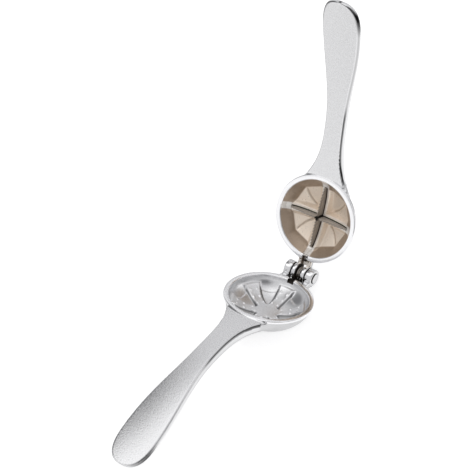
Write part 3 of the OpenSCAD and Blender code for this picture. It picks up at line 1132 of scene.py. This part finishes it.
def bowl_finish():
    """Fine cast skin of the lower bowl."""
    colour = tuple(kit("finish").cast)
    n, shader = shaded("bowl_metal")
    grain = use_group(n, "cast_grain", speckle_size=1300.0, patch_size=120.0)
    painted_shade = n.written("painted_shade")
    wear_and_painted_light = n.written("wear_and_painted_light")
    base = n.tones(grain.outputs["Speckle"], colour, 0.90, 1.06)
    # painted shade: the arms' sloping sides are darkened
    base = n.mix(n.times(painted_shade, 0.95), base, toned(colour, 0.2))
    # painted highlight: the studs and the star's top edges are lightened
    n.link(n.mix(wear_and_painted_light, base, toned(colour, 1.26)), shader.inputs["Base Color"])
    n.link(n.maths("MULTIPLY_ADD", grain.outputs["Patches"], 0.08, 0.25),
           shader.inputs["Roughness"])
    raise_bumps(n, shader, grain.outputs["Height"], 0.12, 0.00006)


def polished_finish(name, colour, scuff_size, low, high, spread, least):
    """Turned and polished metal: two tones in smears, and roughness in fine scuffs."""
    n, shader = shaded(name)
    scuffs = use_group(n, "scuffs", size=scuff_size)
    n.link(n.tones(scuffs.outputs["Smears"], colour, low, high), shader.inputs["Base Color"])
    n.link(n.maths("MULTIPLY_ADD", scuffs.outputs["Scratches"], spread, least),
           shader.inputs["Roughness"])


def bronze_finish():
    """Warm bronze skin of the upper bowl, darker on its steep wall."""
    finish = kit("finish")
    bronze, umber = tuple(finish.bronze), tuple(finish.umber)
    n, shader = shaded("bronze_skin", metallic=0.4)
    grain = use_group(n, "cast_grain", speckle_size=1400.0, patch_size=150.0)
    wall = n.written("wall")
    floor = n.tones(grain.outputs["Patches"], bronze, 0.88, 1.12)
    steep = n.tones(grain.outputs["Patches"], umber, 0.85, 1.2)
    painted_shade = n.written("painted_shade")
    wear_and_painted_light = n.written("wear_and_painted_light")
    # painted shade: the creases are darkened towards umber
    base = n.mix(n.times(painted_shade, 0.75), n.mix(wall, floor, steep), toned(umber, 1.1))
    n.link(n.mix(n.times(wear_and_painted_light, 0.9), base, WORN_BRONZE), shader.inputs["Base Color"])
    n.link(n.maths("MULTIPLY_ADD", grain.outputs["Speckle"], 0.12, 0.26),
           shader.inputs["Roughness"])
    raise_bumps(n, shader, grain.outputs["Height"], 0.3, 0.00005)


def steel_finish(name, colour, base_rough, metallic=1.0, painted_light=0.0):
    """Drawn or ground steel with scratches along it, painted lighter by a share where it should look lit."""
    n, shader = shaded(name, metallic)
    scuffs = use_group(n, "scuffs", size=700.0)
    wear_and_painted_light = n.written("wear_and_painted_light")
    base = n.tones(scuffs.outputs["Scratches"], colour, 0.7, 1.3)
    n.link(n.mix(n.times(wear_and_painted_light, painted_light), base, PAINTED_LIT_STEEL), shader.inputs["Base Color"])
    n.link(n.maths("MULTIPLY_ADD", scuffs.outputs["Smears"], 0.2, base_rough),
           shader.inputs["Roughness"])
    raise_bumps(n, shader, scuffs.outputs["Scratches"], 0.2, 0.00003)


# ---- Operators ---------------------------------------------------------------

class NUTCRACKER_OT_finishes(bpy.types.Operator):
    """Make the metal finishes"""
    bl_idname = "nutcracker.finishes"
    bl_label = "Finishes"

    def execute(self, context):
        colours = kit("finish")
        grain_group()
        scuff_group()
        cast_finish()
        bowl_finish()
        polished_finish("rim_metal", toned(tuple(colours.cast), 1.19), 420.0,
                        low=0.96, high=1.03, spread=0.12, least=0.13)
        bronze_finish()
        polished_finish("chrome", tuple(colours.chrome), 500.0,
                        low=0.94, high=1.06, spread=0.10, least=0.05)
        steel_finish("blade_steel", tuple(colours.blade), 0.32, metallic=0.4, painted_light=1.0)
        steel_finish("spring_steel", tuple(colours.wire), 0.25)
        steel_finish("slot_shadow", tuple(colours.soot), 0.6, metallic=0.4)
        # painted shade for the slot of the spring's leg in the upper webs
        steel_finish("leg_slot_shade", toned(tuple(colours.umber), 0.75), 0.5, metallic=0.3)
        return {"FINISHED"}


class NUTCRACKER_OT_lower_lever(bpy.types.Operator):
    """Cast the lower lever with its foot"""
    bl_idname = "nutcracker.lower_lever"
    bl_label = "Lower lever"

    def execute(self, context):
        cup, hinge = mm("cup"), mm("hinge")
        foot, height, flare = bmesh.new(), 4.0, 2.0
        bmesh.ops.create_cone(foot, cap_ends=True, segments=TURN_STEPS, radius1=cup.foot_radius,
                              radius2=cup.foot_radius + flare, depth=height)
        lean = Matrix.Rotation(-lower_tilt(), 4, "Y")
        moved(foot, Matrix.Translation((0, 0, -cup.foot_depth)) @ lean
              @ Matrix.Translation((0, 0, height / 2)))
        bm = casting(LOWER_HANDLE, hinge.outer_start, hinge.outer_end, [foot],
                     [drum(hinge, BORE_PLAY), bay_notch(hinge, cup)] + leg_slot(hinge))
        bm = joined([bm] + bay_floor(hinge, cup))
        darken(bm, lambda p: p.x > 21 and abs(p.y) < hinge.outer_start - 0.3
               and -5.0 < p.z < -0.1 and not (p.z > -3.5 and p.x < 24 and abs(p.y) > 2.1))
        piece = finished(bm, "lower_casting", lower_place(), "lower",
                         ["cast_metal", "slot_shadow"])
        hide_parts("lower_lever")
        return {"FINISHED"}


class NUTCRACKER_OT_upper_lever(bpy.types.Operator):
    """Cast the upper lever"""
    bl_idname = "nutcracker.upper_lever"
    bl_label = "Upper lever"

    def execute(self, context):
        cup, hinge, grip = mm("cup"), mm("hinge"), mm("grip")
        bay_in = hinge.axis_out - BAY_TO_AXIS - hinge.wire / 2
        bay = bar_over(bay_in, hinge.axis_out + 6, 2 * hinge.inner_start, -cup.height, PAST)
        bm = casting(UPPER_HANDLE, 0.0, hinge.inner_end, [],
                     [drum(hinge, BORE_PLAY), bay] + leg_slot(hinge) + blade_slots(grip))
        warm, = layers(bm, "warm")
        for vert in bm.verts:
            x, y, z = vert.co
            vert[warm] = fade(x, 24.2, 0.6) * fade(z, -2.2, 0.8) * fade(abs(y), 4.6, -0.3)
        # painted shade: the slot of the spring's leg in the webs is painted dark brown
        darken(bm, lambda p: p.x > 22 and -3.65 < p.z < -0.7
               and abs(p.y + hinge.coil_side) < 0.9)
        piece = finished(bm, "upper_casting", upper_place(), "upper",
                         ["cast_metal", "leg_slot_shade"])
        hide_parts("upper_lever")
        return {"FINISHED"}


class NUTCRACKER_OT_lower_bowl(bpy.types.Operator):
    """Shape the lower bowl with its grip star"""
    bl_idname = "nutcracker.lower_bowl"
    bl_label = "Lower bowl"

    def execute(self, context):
        cup, grip, hinge = mm("cup"), mm("grip"), mm("hinge")
        bm = cut(bowl(star_height(cup, grip), cup), [bay_notch(hinge, cup)])
        paint_star(bm, grip)
        choose_faces(bm, cup)
        side = hinge.inner_start + 0.15
        darken(bm, lambda p: p.x > 21.45 and abs(p.y) < side and -2.05 < p.z < -0.05,
               BOWL_SHADOW)
        piece = finished(bm, "lower_bowl", lower_place(), "lower",
                         ["bowl_metal", "rim_metal", "slot_shadow"])
        return {"FINISHED"}


class NUTCRACKER_OT_upper_bowl(bpy.types.Operator):
    """Shape the upper bowl with its crossed ribs"""
    bl_idname = "nutcracker.upper_bowl"
    bl_label = "Upper bowl"

    def execute(self, context):
        cup, grip, hinge = mm("cup"), mm("grip"), mm("hinge")
        bm = cut(bowl(ribbed_height(cup, grip), cup), blade_slots(grip) + leg_slot(hinge))
        paint_bowl(bm, grip)
        choose_faces(bm, cup, grip)
        darken(bm, lambda p: p.x > inner_radius(cup) - NOTCH_BACK and abs(p.y) < 1.75
               and -3.7 < p.z < -0.05, BOWL_SHADOW)
        piece = finished(bm, "upper_bowl", upper_place(), "upper",
                         ["bronze_skin", "rim_metal", "slot_shadow"])
        return {"FINISHED"}


class NUTCRACKER_OT_knuckles(bpy.types.Operator):
    """Turn the knuckles of both levers"""
    bl_idname = "nutcracker.knuckles"
    bl_label = "Knuckles"

    def execute(self, context):
        hinge = mm("hinge")
        for name, place, body, start, end in (
                ("lower_knuckles", lower_place(), "lower", hinge.outer_start, hinge.outer_end),
                ("upper_knuckles", upper_place(), "upper", hinge.inner_start, hinge.inner_end)):
            bm = knuckle_pair(hinge, start, end, body == "lower")
            gap = (hinge.inner_end + hinge.outer_start) / 2
            reach = hinge.knuckle_radius - 0.12

            def in_shadow(p):
                """In the gaps between the knuckles, or inside a recess."""
                r = math.hypot(p.x - hinge.axis_out, p.z - hinge.axis_up)
                near_gap = abs(abs(p.y) - gap) < 0.4 or abs(p.y) < start + 0.1
                in_recess = abs(p.y) < hinge.outer_end - 0.3 and r < reach - 0.5
                return ((r < reach and near_gap)
                        or (in_recess and r < hinge.recess_radius + 0.1))

            darken(bm, in_shadow)
            piece = finished(bm, name, place, body, ["chrome", "slot_shadow"],
                             math.radians(50))
        return {"FINISHED"}


class NUTCRACKER_OT_pin(bpy.types.Operator):
    """Turn the riveted hinge pin"""
    bl_idname = "nutcracker.pin"
    bl_label = "Hinge pin"

    def execute(self, context):
        hinge = mm("hinge")
        inner = hinge.outer_end - hinge.recess_depth
        dome, under, edge = 0.25, 0.1, 0.15
        rim = hinge.head_height - dome
        head = [(hinge.pin_radius, inner), (hinge.head_radius - under, inner),
                (hinge.head_radius, inner + under), (hinge.head_radius, inner + rim - edge),
                (hinge.head_radius - edge, inner + rim),
                (hinge.head_radius * 0.7, inner + rim + dome * 0.55),
                (hinge.head_radius * 0.35, inner + rim + dome * 0.88),
                (0, inner + rim + dome)]
        profile = [(r, -h) for r, h in reversed(head)] + head
        bm = on_axis(spun(profile, TURN_STEPS, "Y"), hinge)
        shadow_end = inner + hinge.head_height - 0.3
        for face in bm.faces:
            centre = face.calc_center_median()
            if abs(face.normal.y) < 0.3 and abs(centre.y) < shadow_end:
                face.material_index = 1
        piece = finished(bm, "riveted_pin", lower_place(), "lower",
                         ["chrome", "slot_shadow"])
        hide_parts("hinge_pin")
        return {"FINISHED"}


class NUTCRACKER_OT_spring(bpy.types.Operator):
    """Wind the torsion spring round the pin"""
    bl_idname = "nutcracker.spring"
    bl_label = "Spring"

    def execute(self, context):
        hinge = mm("hinge")
        turns = 2 + (math.pi - OPEN_ANGLE) / (2 * math.pi)
        coil_steps, leg_steps, wire_steps = 90, 10, 14
        axis = Vector((hinge.axis_out, 0, hinge.axis_up))

        def on_coil(share):
            angle = math.pi / 2 - OPEN_ANGLE - 2 * math.pi * turns * share
            return axis + Vector((hinge.coil_radius * math.cos(angle),
                                  hinge.coil_side * (1 - 2 * share),
                                  hinge.coil_radius * math.sin(angle)))

        coil = [on_coil(k / coil_steps) for k in range(coil_steps + 1)]
        upper_way = Vector((-math.cos(OPEN_ANGLE), 0, math.sin(OPEN_ANGLE)))
        upper_leg = [coil[0] + upper_way * hinge.leg * k / leg_steps
                     for k in range(leg_steps, 0, -1)]
        lower_leg = [coil[-1] - Vector((hinge.leg * k / leg_steps, 0, 0))
                     for k in range(1, leg_steps + 1)]
        line = upper_leg + coil + lower_leg
        rings = []
        for i, point in enumerate(line):
            along = (line[min(i + 1, len(line) - 1)] - line[max(i - 1, 0)]).normalized()
            out = Vector((0, 1, 0)).cross(along).normalized()
            side = along.cross(out)
            rings.append([point + hinge.wire / 2 * (math.cos(a) * out + math.sin(a) * side)
                          for a in (2 * math.pi * k / wire_steps for k in range(wire_steps))])
        piece = finished(skinned(rings), "spring_wire", lower_place(), None, ["spring_steel"])
        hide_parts("hinge_spring")
        reach = 0.6 * MM
        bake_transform(piece, "lower", "upper", start=(HINGE.x, -reach, HINGE.z),
                 end=(HINGE.x, reach, HINGE.z))
        return {"FINISHED"}


TOOTH_BEVEL = 0.08
TOOTH_POWER = 1.3
FLOOR_PLAY = 0.02
HALVING_PLAY = 0.05


def rib_top(along, grip):
    """Height of the ribs' tops, which the blades stand in."""
    past_blade = 4
    return dish(along, grip.blade_length / 2 + past_blade, grip.rib_depth)


def toothed_strip(grip, across):
    """One blade along a lever's X, or across it, with bevelled teeth along its top."""
    half, bottom = grip.blade_length / 2, -grip.slot_floor + FLOOR_PLAY
    count = 2 * round(half / grip.tooth_pitch)
    pitch = 2 * half / count
    thick = grip.blade_width / 2
    rings = []
    for i in range(4 * count + 1):
        x = -half + i * pitch / 4
        rise = abs(2 * ((i / 4) % 1) - 1)
        crown = grip.blade_top + grip.blade_crown * (x / half) ** 2
        top = -crown - grip.tooth_height * rise ** TOOTH_POWER
        land = rib_top(abs(x), grip) - 0.15
        section = [(-thick, bottom), (thick, bottom), (thick, land),
                   (thick, top - TOOTH_BEVEL), (thick * 0.8, top), (-thick * 0.8, top),
                   (-thick, top - TOOTH_BEVEL), (-thick, land)]
        rings.append([Vector((y, x, z)) if across else Vector((x, y, z)) for y, z in section])
    room = thick + HALVING_PLAY
    middle = (-grip.slot_floor - grip.blade_top - grip.tooth_height) / 2
    if across:
        halving = box((-room, -room, bottom - PAST), (room, room, middle + HALVING_PLAY))
    else:
        halving = box((-room, -room, middle), (room, room, PAST))
    return cut(skinned(rings), [halving])


class NUTCRACKER_OT_blades(bpy.types.Operator):
    """Stamp the toothed blades"""
    bl_idname = "nutcracker.blades"
    bl_label = "Blades"

    def execute(self, context):
        grip = mm("grip")
        # painted light: the crosswise blade, whose face looks up, is painted lighter as though lit from
        # above, the lengthwise blade darker as though in shade
        for name, across, painted_light in (("lengthwise", False, 0.04), ("crosswise", True, 0.34)):
            bm = toothed_strip(grip, across)
            wear_and_painted_light, = layers(bm, "wear_and_painted_light")
            for vert in bm.verts:
                vert[wear_and_painted_light] = painted_light

            def in_shadow(p):
                """Between the walls of the slot, or where the blades cross."""
                along = abs(p.y if across else p.x)
                return p.z < rib_top(along, grip) - 0.2 or along < 1.2

            darken(bm, in_shadow)
            piece = finished(bm, "toothed_blade_" + name, upper_place(), "upper",
                             ["blade_steel", "slot_shadow"], math.radians(25))
            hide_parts("blade_" + name)
        return {"FINISHED"}


# The camera's target, from the middle of the object's box. All in metres.
TARGET_SHIFT = Vector((0.0390, 0.0273, -0.0437))
SENSOR = 36
FLOOR_RADIUS = 4
FLOOR_DROP = 0.0002

# Strength of the floor's own light: to the camera, and in mirrored views.
FLOOR_GLOW = 0.52
SHEEN_LEAST = 0.42
SHEEN_RISE = 0.5
SHEEN_MOST = 0.70
NEAR_SHEEN = 0.21
FRONT_DIM = 0.1
BEHIND_DIM = 0.5

# Where the floor's mirrored view changes: the dark flag and the dimmer floor lie below
# these in Y, and the greyer patch behind the nutcracker beyond these in X and Y.
FLAG_START = -0.30
FRONT_START = -0.06
BEHIND_X = 0.06
BEHIND_Y = -0.01

LAMP_AIM = Vector((0, 0, 0.05))
LAMPS = (("key", (-0.12, 0.35, 1.2), 0.8, 3.0),
         ("fill", (-0.9, -0.5, 0.8), 0.8, 2.0))

# Round patches of the mirrored sky: aim, inner and outer angle in degrees, colour.
SKY_PATCHES = (((-0.06, 0.75, 0.65), 9, 38, (0.16, 0.16, 0.165)),
               ((-0.42, -0.60, 0.68), 9, 22, (0.08, 0.08, 0.085)),
               ((0, 0.1, 0.99), 6, 24, (1.35, 1.35, 1.35)),
               ((-0.36, 0.45, 0.82), 6, 21, (1.5, 1.5, 1.5)))


class NUTCRACKER_OT_stage(bpy.types.Operator):
    """Lay the floor and set the camera, lamps and world"""
    bl_idname = "nutcracker.stage"
    bl_label = "Stage"

    def execute(self, context):
        self.set_camera(context)
        self.lay_floor()
        self.light(context)
        context.scene.view_settings.view_transform = "Standard"
        return {"FINISHED"}

    def set_camera(self, context):
        stage = kit("stage")
        camera = bpy.data.objects.new("camera", bpy.data.cameras.new("camera"))
        context.scene.collection.objects.link(camera)
        camera.data.lens = stage.lens
        camera.data.sensor_width = SENSOR
        low, high = (Vector(corner) for corner in CAD_BOX)
        target = (low + high) / 2 + TARGET_SHIFT
        level = math.cos(stage.elevation)
        back = Vector((math.sin(stage.azimuth) * level, -math.cos(stage.azimuth) * level,
                       math.sin(stage.elevation)))
        turn = back.to_track_quat("Z", "Y").to_matrix().to_4x4()
        camera.matrix_world = (Matrix.Translation(target + back * stage.distance) @ turn
                               @ Matrix.Rotation(stage.roll, 4, "Z"))
        context.scene.camera = camera

    def lay_floor(self):
        floor = bmesh.new()
        bmesh.ops.create_circle(floor, cap_ends=True, segments=TURN_STEPS, radius=FLOOR_RADIUS)
        obj = as_object(floor, "floor")
        obj.location.z = -FLOOR_DROP
        n, shader = shaded("white_floor", metallic=0.0)
        shader.inputs["Roughness"].default_value = 1
        shader.inputs["Specular IOR Level"].default_value = 0
        path = n.add("ShaderNodeLightPath")
        place = n.add("ShaderNodeTexCoord")
        split = n.add("ShaderNodeSeparateXYZ")
        n.link(place.outputs["Object"], split.inputs[0])
        far = n.ramp(FLAG_START, split.outputs["Y"], 5.0)
        flag = n.times(far, path.outputs["Is Glossy Ray"])
        lit = n.mix(path.outputs["Is Glossy Ray"], (0.86, 0.86, 0.86), (0.5, 0.5, 0.5))
        n.link(n.mix(flag, lit, (0.1, 0.1, 0.1)), shader.inputs["Base Color"])
        shader.inputs["Emission Color"].default_value = (1, 1, 1, 1)
        away = n.add("ShaderNodeVectorMath", operation="LENGTH")
        n.link(place.outputs["Object"], away.inputs[0])
        sheen = n.maths("MULTIPLY_ADD", away.outputs["Value"], SHEEN_RISE, SHEEN_LEAST)
        sheen = n.maths("MINIMUM", sheen, SHEEN_MOST)
        near = n.maths("MULTIPLY", split.outputs["Y"], -50.0, clamp=True)
        fade = n.ramp(FRONT_START, split.outputs["Y"], 15.0)
        sheen = n.maths("ADD", sheen, n.times(near, NEAR_SHEEN))
        sheen = n.maths("SUBTRACT", sheen, n.times(fade, FRONT_DIM))
        # a greyer patch of floor behind the nutcracker gives its sides a soft outline
        beyond = n.ramp(split.outputs["X"], BEHIND_X, 20.0)
        aside = n.ramp(split.outputs["Y"], BEHIND_Y, 20.0)
        behind = n.times(beyond, aside)
        sheen = n.maths("SUBTRACT", sheen, n.times(behind, BEHIND_DIM))
        glow = n.times(n.maths("SUBTRACT", path.outputs["Is Glossy Ray"], flag), sheen)
        n.link(n.maths("ADD", n.times(path.outputs["Is Camera Ray"], FLOOR_GLOW), glow),
               shader.inputs["Emission Strength"])
        obj.data.materials.append(bpy.data.materials["white_floor"])

    def light(self, context):
        world = bpy.data.worlds.new("studio")
        context.scene.world = world
        world.use_nodes = True
        n = Nodes(world.node_tree)
        back = world.node_tree.nodes["Background"]
        path = n.add("ShaderNodeLightPath")
        sight = n.add("ShaderNodeTexCoord")
        split = n.add("ShaderNodeSeparateXYZ")
        n.link(sight.outputs["Generated"], split.inputs[0])
        height = split.outputs["Z"]

        def patch(aim, inner, outer):
            """1 inside a round patch of the sky, 0 outside it."""
            dot = n.add("ShaderNodeVectorMath", operation="DOT_PRODUCT")
            n.link(sight.outputs["Generated"], dot.inputs[0])
            dot.inputs[1].default_value = Vector(aim).normalized()
            fade = n.add("ShaderNodeMapRange", interpolation_type="SMOOTHSTEP")
            n.link(dot.outputs["Value"], fade.inputs["Value"])
            fade.inputs["From Min"].default_value = math.cos(math.radians(outer))
            fade.inputs["From Max"].default_value = math.cos(math.radians(inner))
            return fade.outputs["Result"]

        def stripe(level, half):
            """1 in a level band of the sky, fading out towards its edges."""
            gap = n.maths("ABSOLUTE", n.maths("SUBTRACT", height, level))
            return n.ramp(half, gap, 1.6 / half)

        def above_horizon(rate):
            """1 at the horizon, falling to 0 above it."""
            rise = n.maths("MULTIPLY", height, rate, clamp=True)
            return n.maths("SUBTRACT", 1, rise, clamp=True)

        side = n.maths("MULTIPLY_ADD", split.outputs["Y"], -2.2, 0.1, clamp=True)
        flag = n.times(above_horizon(3.2), side)
        beyond = n.ramp(split.outputs["X"], -0.55, 4.0)
        stripes = n.maths("ADD", stripe(0.13, 0.035), stripe(0.33, 0.03), clamp=True)
        stripes = n.times(stripes, beyond)
        sky = n.mix(above_horizon(4.0), (0.80, 0.80, 0.81), (1.1, 1.1, 1.1))
        for aim, inner, outer, colour in SKY_PATCHES:
            sky = n.mix(patch(aim, inner, outer), sky, colour)
        sky = n.mix(n.times(stripes, 0.9), sky, (0.06, 0.06, 0.065))
        glossy = n.mix(flag, sky, (0.05, 0.05, 0.055))
        glossy = n.mix(patch((0.66, -0.70, 0.26), 7, 20), glossy, (1.35, 1.35, 1.35))
        plain = n.mix(path.outputs["Is Glossy Ray"], (0.62, 0.62, 0.625), glossy)
        n.link(n.mix(path.outputs["Is Camera Ray"], plain, (1, 1, 1)), back.inputs["Color"])
        for name, place, size, power in LAMPS:
            lamp = bpy.data.lights.new(name, "AREA")
            lamp.energy, lamp.size = power, size
            obj = bpy.data.objects.new(name, lamp)
            context.scene.collection.objects.link(obj)
            obj.visible_glossy = False
            obj.location = place
            way = LAMP_AIM - obj.location
            obj.rotation_euler = way.to_track_quat("-Z", "Y").to_euler()


OPERATORS = (NUTCRACKER_OT_finishes, NUTCRACKER_OT_lower_lever, NUTCRACKER_OT_upper_lever,
             NUTCRACKER_OT_lower_bowl, NUTCRACKER_OT_upper_bowl, NUTCRACKER_OT_knuckles,
             NUTCRACKER_OT_pin, NUTCRACKER_OT_spring, NUTCRACKER_OT_blades,
             NUTCRACKER_OT_stage)
GROUPS = {"cup": CupSizes, "handle": HandleSizes, "hinge": HingeSizes, "grip": GripSizes,
          "finish": FinishColours, "stage": StageSettings}


class NUTCRACKER_PT_panel(bpy.types.Panel):
    """Sizes, colours and steps of the nutcracker"""
    bl_idname = "NUTCRACKER_PT_panel"
    bl_label = "Nutcracker"
    bl_space_type = "VIEW_3D"
    bl_region_type = "UI"
    bl_category = "Nutcracker"

    def draw(self, context):
        for operator in OPERATORS:
            self.layout.operator(operator.bl_idname)
        for name, group in GROUPS.items():
            box_ = self.layout.box()
            box_.label(text=name.title())
            for key in group.__annotations__:
                box_.prop(kit(name), key)


def register():
    for item in (*GROUPS.values(), *OPERATORS, NUTCRACKER_PT_panel):
        bpy.utils.register_class(item)
    for name, group in GROUPS.items():
        setattr(bpy.types.Scene, "nutcracker_" + name, PointerProperty(type=group))


def unregister():
    for name in GROUPS:
        delattr(bpy.types.Scene, "nutcracker_" + name)
    for item in reversed((*GROUPS.values(), *OPERATORS, NUTCRACKER_PT_panel)):
        bpy.utils.unregister_class(item)


def main():
    register()
    for step in ("finishes", "lower_lever", "upper_lever", "lower_bowl", "upper_bowl",
                 "knuckles", "pin", "spring", "blades", "stage"):
        getattr(bpy.ops.nutcracker, step)()


if __name__ == "__main__":
    main()
